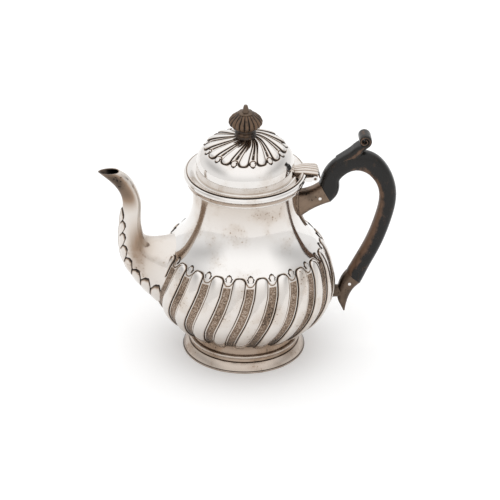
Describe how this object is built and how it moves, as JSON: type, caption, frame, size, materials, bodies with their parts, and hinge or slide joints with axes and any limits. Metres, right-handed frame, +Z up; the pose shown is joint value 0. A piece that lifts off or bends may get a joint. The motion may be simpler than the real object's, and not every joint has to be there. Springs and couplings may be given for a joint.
{
  "type": "silver teapot",
  "caption": "Bellied silver teapot with a swan-neck spout, a hinged domed lid and a dark wooden handle pinned into sockets.",
  "frame": {"origin": "centre of the foot's underside, on the body's axis", "axes": "+Z up along the body's axis, -X towards the spout, +X towards the handle"},
  "size_m": [0.2089, 0.128, 0.1905],
  "materials": {
    "polished_silver": "hand-polished silver with light tarnish in the recesses",
    "toned_silver": "polished silver with brown tarnish",
    "dark_silver": "dark tarnished silver",
    "fitting_silver": "dull silver fittings",
    "black_wood": "ebonised wood worn brown inside the grip",
    "brown_wood": "dark brown reeded wood"
  },
  "bodies": {
    "pot": {"body_shell": "polished_silver", "mouth_rim": "polished_silver", "foot_ring": "toned_silver", "foot_wire": "toned_silver", "spout": "polished_silver", "spout_leaf": "toned_silver", "upper_handle_socket": "dark_silver", "upper_socket_plate": "dark_silver", "lower_handle_socket": "dark_silver", "lower_socket_boss": "dark_silver", "upper_handle_pin": "dark_silver", "lower_handle_pin": "dark_silver", "hinge_body_bracket": "polished_silver", "hinge_body_knuckles": "polished_silver", "hinge_pin": "fitting_silver", "handle_grip": "black_wood"},
    "lid": {"lid_dome": "polished_silver", "lid_bezel": "polished_silver", "hinge_lid_leaf": "polished_silver", "hinge_lid_knuckles": "polished_silver", "finial_collar": "brown_wood", "finial_knob": "brown_wood", "finial_petal_washer": "fitting_silver", "finial_bolt": "fitting_silver", "finial_washer": "fitting_silver", "finial_nut": "fitting_silver"}
  },
  "joints": [
    {"name": "lid_hinge", "type": "hinge", "parent": "pot", "child": "lid", "pos_m": [0.0482, 0, 0.1359], "axis": [0, 1, 0], "range_deg": [0, 90]}
  ]
}
